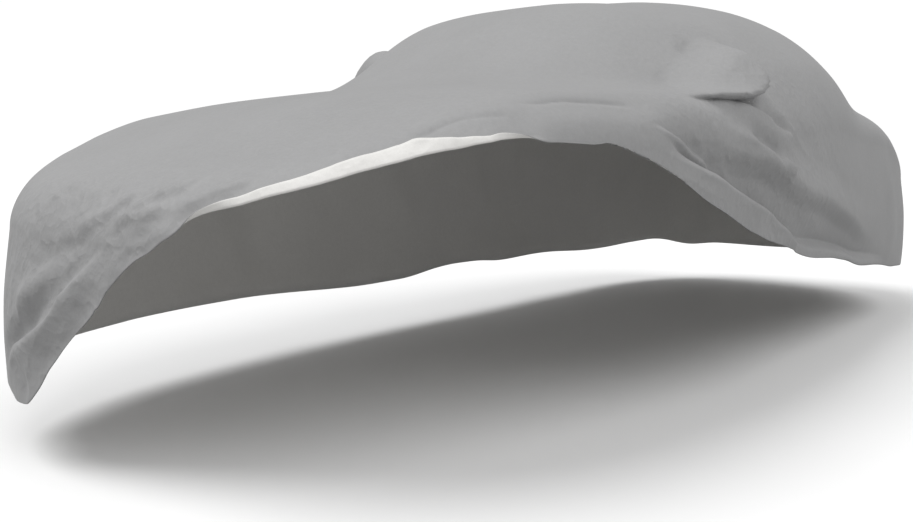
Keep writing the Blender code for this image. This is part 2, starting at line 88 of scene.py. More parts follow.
def read_rows(rows: Points, x: np.ndarray) -> np.ndarray:
    """Read a two-column table with a smooth curve through its rows.

    Args:
        rows: Pairs of a place and the value there, in rising order of place.
        x: Places to read the table at.

    Returns:
        The values at x, level with the end rows outside the table.
    """
    table = np.array(rows, dtype=float)
    knots, values = table[:, 0], table[:, 1]
    x = np.clip(x, knots[0], knots[-1])
    gaps = np.diff(knots)
    rises = np.diff(values)
    slopes = np.empty_like(values)
    slopes[1:-1] = (rises[:-1] + rises[1:]) / (gaps[:-1] + gaps[1:])
    slopes[0] = rises[0] / gaps[0]
    slopes[-1] = rises[-1] / gaps[-1]
    i = np.clip(np.searchsorted(knots, x, side="right") - 1, 0, len(gaps) - 1)
    t = (x - knots[i]) / gaps[i]
    return (
        (1 + 2 * t) * (1 - t) ** 2 * values[i]
        + t * (1 - t) ** 2 * gaps[i] * slopes[i]
        + t * t * (3 - 2 * t) * values[i + 1]
        + t * t * (t - 1) * gaps[i] * slopes[i + 1]
    )


def curve_through(points: Points, steps: int, closed: bool = False) -> np.ndarray:
    """Carry a smooth curve through points.

    Args:
        points: The points, in order.
        steps: Samples to each span between two points.
        closed: Whether the curve runs on from the last point to the first.

    Returns:
        The curve's points, one row each.
    """
    knots = np.array(points, dtype=float)
    count = len(knots)
    t = np.linspace(0.0, 1.0, steps, endpoint=False)[:, None]
    pieces = []
    for i in range(count if closed else count - 1):
        if closed:
            before, start, end, after = (knots[(i + k) % count] for k in (-1, 0, 1, 2))
        else:
            start, end = knots[i], knots[i + 1]
            before = knots[i - 1] if i else 2 * start - end
            after = knots[i + 2] if i + 2 < count else 2 * end - start
        pieces.append(
            0.5
            * (
                2 * start
                + (end - before) * t
                + (2 * before - 5 * start + 4 * end - after) * t**2
                + (3 * start - before - 3 * end + after) * t**3
            )
        )
    pieces.append(knots[:1] if closed else knots[-1:])
    return np.vstack(pieces)


def run_length(points: np.ndarray) -> np.ndarray:
    """Return how far along a curve each of its points lies."""
    return np.r_[0.0, np.cumsum(np.linalg.norm(np.diff(points, axis=0), axis=1))]


def in_chunks(work: Callable[[np.ndarray], np.ndarray], points: np.ndarray) -> np.ndarray:
    """Do some work on points a few thousand at a time, and join the results."""
    return np.concatenate([work(points[i : i + CHUNK]) for i in range(0, len(points), CHUNK)])


@dataclass(frozen=True)
class SoftNoise:
    """Smooth random heights over the flat pattern, between about -1 and 1."""

    seed: int
    pitch: float
    cells: int = 64

    def at(self, places: np.ndarray) -> np.ndarray:
        """Return the noise at places, which are rows of x and y.

        Args:
            places: Rows of x and y.

        Returns:
            One height a row.
        """
        lattice = np.random.default_rng(self.seed).uniform(-1.0, 1.0, (self.cells, self.cells))
        scaled = places / self.pitch
        whole = np.floor(scaled).astype(int)
        part = smooth_step(scaled - whole)
        i, j = whole[:, 0] % self.cells, whole[:, 1] % self.cells
        i_next, j_next = (i + 1) % self.cells, (j + 1) % self.cells
        low = lattice[i, j] * (1 - part[:, 0]) + lattice[i_next, j] * part[:, 0]
        high = lattice[i, j_next] * (1 - part[:, 0]) + lattice[i_next, j_next] * part[:, 0]
        return low * (1 - part[:, 1]) + high * part[:, 1]


# --- Smooth form --------------------------------------------------------------


@dataclass
class SmoothForm:
    """The form that the cloth takes with no folds: a low body and a raised cabin."""

    nose_y: float = -0.741
    tail_y: float = 3.888
    widest_y: float = 1.50
    half_width: float = 0.930
    nose_squareness: float = 3.62
    tail_squareness: float = 3.89
    outline_samples: int = 600
    start_angle: float = 0.0001
    bracket_steps: int = 4
    root_steps: int = 3
    body_heights: Points = (
        (-0.90, 0.581), (-0.70, 0.701), (-0.45, 0.817), (-0.10, 0.946), (0.35, 0.989),
        (0.90, 1.004), (1.60, 1.003), (2.40, 1.022), (3.00, 0.989), (3.50, 0.989),
        (3.75, 1.006), (3.95, 0.943),
    )
    cabin_heights: Points = (
        (-0.50, 0.551), (0.15, 0.902), (0.45, 1.075), (0.80, 1.289), (1.15, 1.355),
        (1.50, 1.401), (1.90, 1.407), (2.30, 1.366), (2.75, 1.189), (3.20, 1.031),
        (4.00, 0.599),
    )
    body_camber: float = 0.052
    body_camber_power: float = 2.4
    cabin_side_drop: float = 0.362
    cabin_half_width: float = 0.896
    cabin_side_power: float = 3.67
    rear_glass_bow: float = 0.471
    rear_glass_bow_start: float = 1.70
    rear_glass_bow_ease: float = 0.50
    cabin_blend: float = 0.070
    shoulder_radii: Points = (
        (-0.90, 0.098), (0.00, 0.135), (0.80, 0.129), (2.60, 0.129), (3.40, 0.269),
        (3.95, 0.269),
    )
    wall_flare: Points = (
        (0.00, 0.000), (0.20, 0.024), (0.45, 0.021), (0.60, -0.010), (0.80, -0.040),
    )
    probe: float = 0.004
    outline: np.ndarray = field(init=False, repr=False)
    outward: np.ndarray = field(init=False, repr=False)

    def __post_init__(self) -> None:
        """Work out the plan outline and its outward directions."""
        count = 4 * self.outline_samples
        angle = np.linspace(0.0, 2.0 * np.pi, count, endpoint=False) + self.start_angle
        along, across = np.cos(angle), np.sin(angle)
        power = np.where(along > 0, self.nose_squareness, self.tail_squareness)
        reach = np.where(along > 0, self.widest_y - self.nose_y, self.tail_y - self.widest_y)
        x = self.half_width * np.sign(across) * np.abs(across) ** (2.0 / power)
        y = self.widest_y - reach * np.sign(along) * np.abs(along) ** (2.0 / power)
        ring = np.column_stack([x, y])
        ring = np.vstack([ring, ring[:1]])
        travelled = run_length(ring)
        even = np.linspace(0.0, travelled[-1], self.outline_samples, endpoint=False)
        self.outline = np.column_stack([np.interp(even, travelled, ring[:, k]) for k in (0, 1)])
        tangent = np.roll(self.outline, -1, axis=0) - np.roll(self.outline, 1, axis=0)
        tangent /= np.linalg.norm(tangent, axis=1)[:, None]
        self.outward = np.column_stack([tangent[:, 1], -tangent[:, 0]])

    def top_height(self, x: np.ndarray, y: np.ndarray) -> np.ndarray:
        """Return the height of the cloth's top at plan points.

        Args:
            x: Places across the cover.
            y: Places along it.

        Returns:
            The heights above the ground.
        """
        body = read_rows(self.body_heights, y)
        body = body - self.body_camber * (np.abs(x) / self.half_width) ** self.body_camber_power
        bow = np.tanh((y - self.rear_glass_bow_start) / self.rear_glass_bow_ease)
        cabin = read_rows(self.cabin_heights, y + self.rear_glass_bow * x * x * bow)
        side = (np.abs(x) / self.cabin_half_width) ** self.cabin_side_power
        cabin = cabin - self.cabin_side_drop * side
        return 0.5 * (body + cabin + np.sqrt((body - cabin) ** 2 + self.cabin_blend**2))

    def _past_normal(
        self, flat: np.ndarray, i: np.ndarray, share: np.ndarray
    ) -> tuple[np.ndarray, np.ndarray, np.ndarray]:
        """Compare pattern points with places on the outline's edges.

        Args:
            flat: Rows of x and y on the flat pattern.
            i: The edge that each point is compared with.
            share: The place on that edge, from 0 to 1.

        Returns:
            The places, the outward directions there, and how far each point
            lies to the side of its direction.
        """
        j = (i + 1) % self.outline_samples
        foot = self.outline[i] + share[:, None] * (self.outline[j] - self.outline[i])
        way = (1.0 - share)[:, None] * self.outward[i] + share[:, None] * self.outward[j]
        way = way / np.linalg.norm(way, axis=1)[:, None]
        offset = flat - foot
        return foot, way, offset[:, 1] * way[:, 0] - offset[:, 0] * way[:, 1]

    def _nearest(self, flat: np.ndarray) -> np.ndarray:
        """Return, for each pattern point, the foot, direction and distance past it.

        Args:
            flat: Rows of x and y on the flat pattern.

        Returns:
            Rows of the foot, the outward direction there and the distance past it.
        """
        gaps = ((flat[:, None, :] - self.outline[None]) ** 2).sum(axis=2)
        i = gaps.argmin(axis=1)
        low, high = np.zeros(len(flat)), np.ones(len(flat))
        for _ in range(self.bracket_steps):
            after = self._past_normal(flat, i, high)[2] > 0.0
            before = self._past_normal(flat, i, low)[2] < 0.0
            i = (i + after.astype(int) - before.astype(int)) % self.outline_samples
        at_low = self._past_normal(flat, i, low)[2]
        at_high = self._past_normal(flat, i, high)[2]
        for _ in range(self.root_steps):
            share = low + (high - low) * at_low / np.maximum(at_low - at_high, LEAST_GAP)
            share = np.clip(share, 0.0, 1.0)
            foot, way, side = self._past_normal(flat, i, share)
            short = side > 0.0
            low, at_low = np.where(short, share, low), np.where(short, side, at_low)
            high, at_high = np.where(short, high, share), np.where(short, at_high, side)
        past = ((flat - foot) * way).sum(axis=1)
        return np.column_stack([foot, way, past])

    def hang(self, flat: np.ndarray) -> np.ndarray:
        """Carry pattern points onto the smooth form: top, shoulder and wall.

        Args:
            flat: Rows of x and y on the flat pattern.

        Returns:
            Rows of x, y and z.
        """
        found = in_chunks(self._nearest, flat)
        foot, way, past = found[:, 0:2], found[:, 2:4], found[:, 4]
        radius = read_rows(self.shoulder_radii, foot[:, 1])
        turn = np.clip((past + radius) / radius, 0.0, 0.5 * np.pi)
        wall = np.clip(past + radius - 0.5 * np.pi * radius, 0.0, None)
        rounded = foot + way * (radius * np.sin(turn) - radius)[:, None]
        plan = np.where((past < -radius)[:, None], flat, rounded)
        height = self.top_height(plan[:, 0], plan[:, 1]) - radius * (1.0 - np.cos(turn)) - wall
        plan = plan + way * read_rows(self.wall_flare, wall)[:, None]
        return np.column_stack([plan, height])

    def directions(self, flat: np.ndarray) -> np.ndarray:
        """Return the outward directions of the smooth form at pattern points."""
        return probed_directions(self.hang, flat, self.probe)


def probed_directions(
    place: Callable[[np.ndarray], np.ndarray], flat: np.ndarray, probe: float
) -> np.ndarray:
    """Return the outward directions of a surface by small steps on the pattern.

    Args:
        place: Carries pattern points onto the surface.
        flat: Rows of x and y on the flat pattern.
        probe: Length of the steps.

    Returns:
        One unit direction a row.
    """
    east = place(flat + (probe, 0.0)) - place(flat - (probe, 0.0))
    north = place(flat + (0.0, probe)) - place(flat - (0.0, probe))
    normal = np.cross(east, north)
    return normal / np.linalg.norm(normal, axis=1)[:, None]


# --- Folds --------------------------------------------------------------------


class FoldShape(Enum):
    """How a fold rises across its width."""

    ROLL = "soft, level at its crest"
    CREASE = "sharp at its crest"
    LIP = "steep on its right side, slow on its left"


@dataclass(frozen=True)
class Fold:
    """One fold of the cloth, which runs along points of the flat pattern."""

    name: str
    height: float
    width: float
    points: Points
    shape: FoldShape = FoldShape.ROLL
    fade_in: float = 0.25
    fade_out: float = 0.25
    steep_share: float = 0.25
    steps: int = 10

    def _across(self, side: np.ndarray) -> np.ndarray:
        """Return how the fold rises across its width.

        Args:
            side: Distances from the crest over the width, above zero on its left.

        Returns:
            The rise there, from 0 to 1.
        """
        if self.shape is FoldShape.ROLL:
            return smooth_step(1.0 - np.abs(side))
        if self.shape is FoldShape.CREASE:
            return np.clip(1.0 - np.abs(side), 0.0, 1.0) ** 2
        steep = smooth_step(1.0 + side / self.steep_share)
        return np.where(side < 0, steep, np.clip(1.0 - side, 0.0, 1.0) ** LIP_POWER)

    def share(self, flat: np.ndarray) -> np.ndarray:
        """Return how fully the fold lifts the cloth at pattern points, from 0 to 1.

        Args:
            flat: Rows of x and y on the flat pattern.

        Returns:
            One share a row.
        """
        path = curve_through(self.points, self.steps)
        low, high = path.min(axis=0) - self.width, path.max(axis=0) + self.width
        near = ((flat > low) & (flat < high)).all(axis=1)
        raised = np.zeros(len(flat))
        if near.any():
            raised[near] = in_chunks(lambda some: self._share_near(some, path), flat[near])
        return raised

    def _share_near(self, flat: np.ndarray, path: np.ndarray) -> np.ndarray:
        """Return the share at pattern points that may lie in the fold's reach.

        Args:
            flat: Rows of x and y on the flat pattern.
            path: The curve that the fold runs along.

        Returns:
            One share a row.
        """
        starts, edges = path[:-1], np.diff(path, axis=0)
        lengths = np.linalg.norm(edges, axis=1)
        travelled = run_length(path)
        offset = flat[:, None, :] - starts[None]
        share = np.clip((offset * edges[None]).sum(axis=2) / lengths**2, 0.0, 1.0)
        gap = np.linalg.norm(offset - share[:, :, None] * edges[None], axis=2)
        i = gap.argmin(axis=1)
        rows = np.arange(len(flat))
        along = (travelled[i] + share[rows, i] * lengths[i]) / travelled[-1]
        turned = edges[i, 0] * offset[rows, i, 1] - edges[i, 1] * offset[rows, i, 0]
        side = np.where(turned < 0, -1.0, 1.0) * gap[rows, i] / self.width
        ends = smooth_step(along / self.fade_in) * smooth_step((1.0 - along) / self.fade_out)
        return ends * self._across(side)


@dataclass(frozen=True)
class Pocket:
    """A pocket that stands out from one side of the cloth."""

    name: str
    x: float
    y: float
    push: tuple[float, float, float]
    front_reach: float
    rear_reach: float
    top_reach: float
    low_reach: float
    tilt: float = 0.0
    squareness: float = 2.0
    firmness: float = 1.35

    def shift(self, flat: np.ndarray) -> np.ndarray:
        """Return how far the pocket carries the cloth at pattern points.

        Args:
            flat: Rows of x and y on the flat pattern.

        Returns:
            Rows of x, y and z.
        """
        along = flat[:, 1] - self.y
        out = (flat[:, 0] - self.x) * np.sign(self.x) - self.tilt * along
        along = np.abs(along) / np.where(along < 0, self.front_reach, self.rear_reach)
        out = np.abs(out) / np.where(out < 0, self.top_reach, self.low_reach)
        distance = (along**self.squareness + out**self.squareness) ** (1.0 / self.squareness)
        share = smooth_step(self.firmness * (1.0 - distance))
        return share[:, None] * np.array(self.push)


@dataclass(frozen=True)
class Crumple:
    """Small irregular creases over all or part of the cloth."""

    name: str
    height: float
    pitch: float
    seed: int
    angle_deg: float = 0.0
    stretch: float = 1.0
    middle: tuple[float, float] = (0.0, 1.6)
    reach: tuple[float, float] = (9.0, 9.0)
    wander: float = 0.5
    drift_pitches: float = 2.0
    crest_power: float = 0.8
    firmness: float = 2.0

    def lift(self, flat: np.ndarray) -> np.ndarray:
        """Return how far the creases lift the cloth at pattern points.

        Args:
            flat: Rows of x and y on the flat pattern.

        Returns:
            One lift a row.
        """
        angle = math.radians(self.angle_deg)
        along = flat[:, 0] * math.cos(angle) + flat[:, 1] * math.sin(angle)
        across = flat[:, 1] * math.cos(angle) - flat[:, 0] * math.sin(angle)
        places = np.column_stack([along / self.stretch, across])
        drift_pitch = self.drift_pitches * self.pitch
        drifts = [SoftNoise(self.seed + k, drift_pitch).at(places) for k in (1, 2)]
        places = places + np.column_stack(drifts) * self.wander * self.pitch
        valley = np.abs(SoftNoise(self.seed, self.pitch).at(places)) ** self.crest_power
        crest = 1.0 - 2.0 * valley
        gap = np.abs(flat - self.middle) / self.reach
        mask = smooth_step(self.firmness * (1.0 - np.sqrt((gap**2).sum(axis=1))))
        return self.height * crest * mask


class CreasedPatch(NamedTuple):
    """A part of the pattern where handling has left the cloth finely creased."""

    name: str
    x: float
    y: float
    reach_x: float
    reach_y: float
    share: float
    firmness: float = 1.5

    def at(self, pattern: np.ndarray) -> np.ndarray:
        """Return how creased the patch leaves each point of the pattern."""
        gap = (pattern - (self.x, self.y)) / (self.reach_x, self.reach_y)
        return self.share * smooth_step(self.firmness * (1.0 - np.sqrt((gap**2).sum(axis=2))))


# --- Hem ----------------------------------------------------------------------


class HemRow(NamedTuple):
    """One turn of the hem on the flat pattern."""

    x: float
    y: float
    corner: str = ""


class StripRow(NamedTuple):
    """The edge strip at one share of the front hem."""

    share: float
    width: float
    turn: float


@dataclass
class Hem:
    """The edge of the cloth, and how its last strip hangs or turns back.

    The strip follows the drape where its turn is 0, and lies as folded from
    `full_turn` on.  Gathers are small waves along the hem, and rucks are the same
    on the strip where it is folded back.
    """

    rows: Sequence[HemRow] = (
        HemRow(-1.020, -0.906, "nose_right"),
        HemRow(-0.800, -1.066),
        HemRow(-0.620, -1.130),
        HemRow(-0.505, -1.168),
        HemRow(-0.440, -1.194),
        HemRow(-0.370, -1.203),
        HemRow(-0.304, -1.200),
        HemRow(-0.206, -1.154),
        HemRow(-0.120, -1.084),
        HemRow(-0.030, -1.011),
        HemRow(0.064, -0.943),
        HemRow(0.129, -0.882),
        HemRow(0.214, -0.819),
        HemRow(0.277, -0.785),
        HemRow(0.376, -0.719),
        HemRow(0.459, -0.670),
        HemRow(0.534, -0.619),
        HemRow(0.598, -0.563),
        HemRow(0.648, -0.502),
        HemRow(0.707, -0.412),
        HemRow(0.762, -0.320),
        HemRow(0.814, -0.225),
        HemRow(0.852, -0.157),
        HemRow(0.890, -0.078),
        HemRow(0.926, 0.034, "nose_left"),
        HemRow(0.934, 0.090),
        HemRow(0.956, 0.153),
        HemRow(1.022, 0.302),
        HemRow(1.068, 0.390),
        HemRow(1.134, 0.510),
        HemRow(1.195, 0.660),
        HemRow(1.262, 0.838),
        HemRow(1.333, 1.097),
        HemRow(1.400, 1.340),
        HemRow(1.470, 1.641),
        HemRow(1.512, 2.100),
        HemRow(1.522, 2.635),
        HemRow(1.490, 3.000),
        HemRow(1.368, 3.544),
        HemRow(1.005, 4.239, "tail_left"),
        HemRow(0.450, 4.470),
        HemRow(-0.450, 4.470),
        HemRow(-1.005, 4.239, "tail_right"),
        HemRow(-1.377, 3.558),
        HemRow(-1.563, 2.746),
        HemRow(-1.637, 1.594),
        HemRow(-1.566, 0.463),
        HemRow(-1.420, -0.300),
    )
    curve_steps: int = 40
    strip: Sequence[StripRow] = (
        StripRow(0.00, 0.008, 0.0),
        StripRow(0.60, 0.008, 0.0),
        StripRow(0.64, 0.009, 0.6),
        StripRow(0.67, 0.012, 1.0),
        StripRow(0.73, 0.025, 1.0),
        StripRow(0.79, 0.033, 1.0),
        StripRow(0.815, 0.038, 1.0),
        StripRow(0.85, 0.018, 1.0),
        StripRow(0.88, 0.009, 1.0),
        StripRow(0.91, 0.008, 0.5),
        StripRow(0.95, 0.008, 0.0),
        StripRow(1.00, 0.008, 0.0),
    )
    turn_radius: float = 0.004
    arc_steps: int = 5
    strip_steps: int = 5
    least_turn: float = 0.001
    ease_rows: int = 10
    gather_height: float = 0.0035
    gather_pitch: float = 0.045
    gather_reach: float = 0.060
    gather_seed: int = 31
    gather_middle: tuple[float, float] = (0.76, -0.30)
    gather_extent: float = 0.45
    gather_least: float = 0.15
    gather_firmness: float = 1.5
    gather_stretch: float = 0.25
    taper_share: float = 0.06
    taper_least: float = 0.03
    ruck_height: float = 0.003
    ruck_pitch: float = 0.035
    ruck_seed: int = 47
    ruck_squeeze: float = 2.0
    ruck_slant: float = 0.3
    full_turn: float = 0.5

    def curve(self) -> np.ndarray:
        """Return the whole hem as a closed curve on the pattern."""
        return curve_through([(row.x, row.y) for row in self.rows], self.curve_steps, closed=True)

    def sides(self) -> list[tuple[np.ndarray, np.ndarray]]:
        """Return front, left, tail and right, each as even shares and points.

        Returns:
            Four pairs of shares of the side's length and points.
        """
        curve = self.curve()
        corners = [i * self.curve_steps for i, row in enumerate(self.rows) if row.corner]
        corners.append(len(curve) - 1)
        sides = []
        for start, end in zip(corners[:-1], corners[1:]):
            points = curve[start : end + 1]
            travelled = run_length(points)
            sides.append((travelled / travelled[-1], points))
        return sides

    def strip_values(self, shares: np.ndarray, column: str) -> np.ndarray:
        """Return one column of the strip's table at shares of the front hem."""
        places = [row.share for row in self.strip]
        return np.interp(shares, places, [getattr(row, column) for row in self.strip])

    def taper(self, shares: np.ndarray) -> np.ndarray:
        """Return how much of the strip is left near the two ends of the front hem."""
        start = smooth_step(shares / self.taper_share)
        end = smooth_step((1.0 - shares) / self.taper_share)
        return np.clip(start * end, self.taper_least, 1.0)

    def gathers(self, flat: np.ndarray) -> np.ndarray:
        """Return how far the small gathers at the hem lift the cloth.

        Args:
            flat: Rows of x and y on the flat pattern.

        Returns:
            One lift a row.
        """
        curve = self.curve()
        travelled = run_length(curve)

        def nearest(some: np.ndarray) -> np.ndarray:
            """Return the distance to the hem and the place along it.

            Args:
                some: Rows of x and y on the flat pattern.

            Returns:
                Rows of the two.
            """
            gaps = ((some[:, None, :] - curve[None]) ** 2).sum(axis=2)
            i = gaps.argmin(axis=1)
            return np.column_stack([np.sqrt(gaps[np.arange(len(some)), i]), travelled[i]])

        found = in_chunks(nearest, flat)
        from_hem, along = found[:, 0], found[:, 1]
        noise = SoftNoise(self.gather_seed, self.gather_pitch, NOISE_CELLS)
        waves = noise.at(np.column_stack([along, self.gather_stretch * from_hem]))
        gap = np.linalg.norm(flat - self.gather_middle, axis=1) / self.gather_extent
        waves = waves * (self.gather_least + smooth_step(self.gather_firmness * (1.0 - gap)))
        return self.gather_height * waves * np.exp(-from_hem / self.gather_reach)

    def strip_reaches(self, width: np.ndarray) -> list[np.ndarray]:
        """Return how far past the front edge each row of the strip lies.

        Args:
            width: Width of the strip past its fold at each point.

        Returns:
            One array for each row of the strip, from the edge out.
        """
        arc = np.pi * self.turn_radius
        bent = [np.full_like(width, arc * (k + 1) / self.arc_steps) for k in range(self.arc_steps)]
        plain = [arc + width * (k + 1) / self.strip_steps for k in range(self.strip_steps)]
        return bent + plain

    def turned_strip(
        self, edge: np.ndarray, normal: np.ndarray, width: np.ndarray, turn: np.ndarray
    ) -> tuple[np.ndarray, np.ndarray]:
        """Carry the cloth on past its front edge, round its fold.

        Args:
            edge: Points of the sheet's front edge.
            normal: Outward directions there.
            width: Width of the strip past its fold at each point.
            turn: 0 where it hangs on straight, 1 where it is folded right back.

        Returns:
            The strip's rows and their outward directions, from the edge out.
        """
        tangent = np.gradient(edge, axis=0)
        outward = np.cross(tangent, normal)
        outward /= np.linalg.norm(outward, axis=1)[:, None]
        angle = np.maximum(turn * np.pi, self.least_turn)
        reach = (np.pi * self.turn_radius / angle)[:, None]
        rows, directions = [], []
        for step in range(1, self.arc_steps + 1):
            bend = (angle * step / self.arc_steps)[:, None]
            rows.append(edge + (outward * np.sin(bend) + normal * (1.0 - np.cos(bend))) * reach)
            directions.append(normal * np.cos(bend) - outward * np.sin(bend))
        heading = outward * np.cos(angle)[:, None] + normal * np.sin(angle)[:, None]
        travelled = run_length(edge)
        ruck = SoftNoise(self.ruck_seed, self.ruck_pitch, NOISE_CELLS)
        for step in range(1, self.strip_steps + 1):
            out = width * step / self.strip_steps
            slanted = self.ruck_squeeze * out + self.ruck_slant * travelled
            lift = ruck.at(np.column_stack([travelled, slanted]))
            lift = self.ruck_height * (1.0 + lift) * turn * step / self.strip_steps
            raised = heading * out[:, None] + normal * lift[:, None]
            rows.append(rows[self.arc_steps - 1] + raised)
            directions.append(directions[self.arc_steps - 1])
        return np.array(rows), np.array(directions)


# --- Finishes -----------------------------------------------------------------


class NoiseSize(NamedTuple):
    """The settings of one noise texture."""

    scale: float
    detail: float
    roughness: float


class NodeGraph:
    """Short ways to add and join shader nodes in one node tree."""

    def __init__(self, tree: bpy.types.NodeTree) -> None:
        """Work on the given tree."""
        self.tree = tree

    def add(self, kind: str, **settings: object) -> bpy.types.Node:
        """Add a node and set its own properties.

        Args:
            kind: The node's type.
            **settings: Its own properties and their values.

        Returns:
            The node.
        """
        node = self.tree.nodes.new(kind)
        for name, value in settings.items():
            setattr(node, name, value)
        return node

    def join(self, source: bpy.types.NodeSocket, target: bpy.types.NodeSocket) -> None:
        """Join an output to an input."""
        self.tree.links.new(source, target)

    def noise(self, vector: bpy.types.NodeSocket, size: NoiseSize) -> bpy.types.NodeSocket:
        """Add a noise texture and return its factor.

        Args:
            vector: The places to read it at.
            size: Its settings.

        Returns:
            The factor's output.
        """
        node = self.add("ShaderNodeTexNoise")
        self.join(vector, node.inputs["Vector"])
        node.inputs["Scale"].default_value = size.scale
        node.inputs["Detail"].default_value = size.detail
        node.inputs["Roughness"].default_value = size.roughness
        return node.outputs["Fac"]

    def math(
        self,
        operation: str,
        first: bpy.types.NodeSocket,
        second: bpy.types.NodeSocket | float = 0.0,
    ) -> bpy.types.NodeSocket:
        """Add a math node on an output and a second output or number.

        Args:
            operation: What the node does.
            first: Its first value, an output.
            second: Its second value, an output or a number.

        Returns:
            The node's output.
        """
        node = self.add("ShaderNodeMath", operation=operation)
        self.join(first, node.inputs[0])
        if isinstance(second, (int, float)):
            node.inputs[1].default_value = second
        else:
            self.join(second, node.inputs[1])
        return node.outputs[0]


@dataclass(frozen=True)
class LaidFibre:
    """The look that both faces share: laid fibres, fine creases and clouding."""

    name: str = "laid_fibre"
    fibres: NoiseSize = NoiseSize(260.0, 3.0, 0.6)
    fibre_share: float = 0.45
    fibre_height: float = 0.012
    clumps: NoiseSize = NoiseSize(70.0, 2.0, 0.6)
    clump_share: float = 0.28
    clouds: NoiseSize = NoiseSize(4.0, 4.0, 0.6)
    cloud_share: float = 0.30
    creases: tuple[NoiseSize, NoiseSize] = (NoiseSize(18.0, 1.0, 0.5), NoiseSize(48.0, 1.0, 0.5))
    crease_shares: tuple[float, float] = (0.90, 0.20)
    crease_least: tuple[float, float] = (0.14, 0.06)
    middle: float = 0.5

    def group(self) -> bpy.types.NodeTree:
        """Return the node group, with outputs Shade and Height, making it once.

        Returns:
            The node group.
        """
        if self.name in bpy.data.node_groups:
            return bpy.data.node_groups[self.name]
        tree = bpy.data.node_groups.new(self.name, "ShaderNodeTree")
        tree.interface.new_socket("Vector", in_out="INPUT", socket_type="NodeSocketVector")
        tree.interface.new_socket("Creased", in_out="INPUT", socket_type="NodeSocketFloat")
        tree.interface.new_socket("Shade", in_out="OUTPUT", socket_type="NodeSocketFloat")
        tree.interface.new_socket("Height", in_out="OUTPUT", socket_type="NodeSocketFloat")
        graph = NodeGraph(tree)
        start, end = graph.add("NodeGroupInput"), graph.add("NodeGroupOutput")
        vector, creased = start.outputs["Vector"], start.outputs["Creased"]
        fibres = graph.noise(vector, self.fibres)
        height = graph.math("MULTIPLY", fibres, self.fibre_height)
        for size, share, least in zip(self.creases, self.crease_shares, self.crease_least):
            off = graph.math("SUBTRACT", graph.noise(vector, size), self.middle)
            crest = graph.math("MULTIPLY", graph.math("ABSOLUTE", off), -2.0 * share)
            amount = graph.math("ADD", graph.math("MULTIPLY", creased, 1.0 - least), least)
            height = graph.math("ADD", height, graph.math("MULTIPLY", crest, amount))
        clouds, clumps = graph.noise(vector, self.clouds), graph.noise(vector, self.clumps)
        shade = graph.math("SUBTRACT", clouds, self.middle)
        shade = graph.math("MULTIPLY", shade, self.cloud_share)
        for noise, share in ((fibres, self.fibre_share), (clumps, self.clump_share)):
            grain = graph.math("MULTIPLY", graph.math("SUBTRACT", noise, self.middle), share)
            shade = graph.math("ADD", shade, grain)
        shade = graph.math("ADD", shade, self.middle)
        graph.join(shade, end.inputs["Shade"])
        graph.join(height, end.inputs["Height"])
        return tree


@dataclass(frozen=True)
class ClothFinish:
    """One face of the laid-fibre cloth."""

    name: str
    dark: tuple[float, float, float]
    light: tuple[float, float, float]
    roughness: float
    sheen: float
    sheen_roughness: float
    bump_distance: float
    bump_strength: float
    shade_low: float = 0.35
    shade_high: float = 0.65
    fibre: LaidFibre = LaidFibre()

    def material(self) -> bpy.types.Material:
        """Return the material, with its colour and bump from the shared group.

        Returns:
            The material.
        """
        material = bpy.data.materials.new(self.name)
        material.use_nodes = True
        graph = NodeGraph(material.node_tree)
        shader = material.node_tree.nodes["Principled BSDF"]
        places = graph.add("ShaderNodeTexCoord")
        group = graph.add("ShaderNodeGroup", node_tree=self.fibre.group())
        graph.join(places.outputs["Object"], group.inputs["Vector"])
        layer = graph.add("ShaderNodeAttribute", attribute_name=CREASED)
        graph.join(layer.outputs["Fac"], group.inputs["Creased"])
        ramp = graph.add("ShaderNodeValToRGB")
        ramp.color_ramp.elements[0].position = self.shade_low
        ramp.color_ramp.elements[0].color = (*self.dark, 1.0)
        ramp.color_ramp.elements[1].position = self.shade_high
        ramp.color_ramp.elements[1].color = (*self.light, 1.0)
        graph.join(group.outputs["Shade"], ramp.inputs["Fac"])
        graph.join(ramp.outputs["Color"], shader.inputs["Base Color"])
        bump = graph.add("ShaderNodeBump")
        bump.inputs["Strength"].default_value = self.bump_strength
        bump.inputs["Distance"].default_value = self.bump_distance
        graph.join(group.outputs["Height"], bump.inputs["Height"])
        graph.join(bump.outputs["Normal"], shader.inputs["Normal"])
        shader.inputs["Roughness"].default_value = self.roughness
        shader.inputs["Metallic"].default_value = 0.0
        shader.inputs["Sheen Weight"].default_value = self.sheen
        shader.inputs["Sheen Roughness"].default_value = self.sheen_roughness
        return material


GREY_FACE = ClothFinish(
    name="grey_laid_fibre",
    dark=(0.285, 0.285, 0.287),
    light=(0.325, 0.325, 0.328),
    roughness=0.62,
    sheen=0.08,
    sheen_roughness=0.5,
    bump_distance=0.010,
    bump_strength=0.60,
)

WHITE_FACE = ClothFinish(
    name="white_inner_face",
    dark=(0.70, 0.69, 0.67),
    light=(0.78, 0.77, 0.75),
    roughness=0.75,
    sheen=0.05,
    sheen_roughness=0.5,
    bump_distance=0.010,
    bump_strength=0.60,
)


# --- The cover ----------------------------------------------------------------


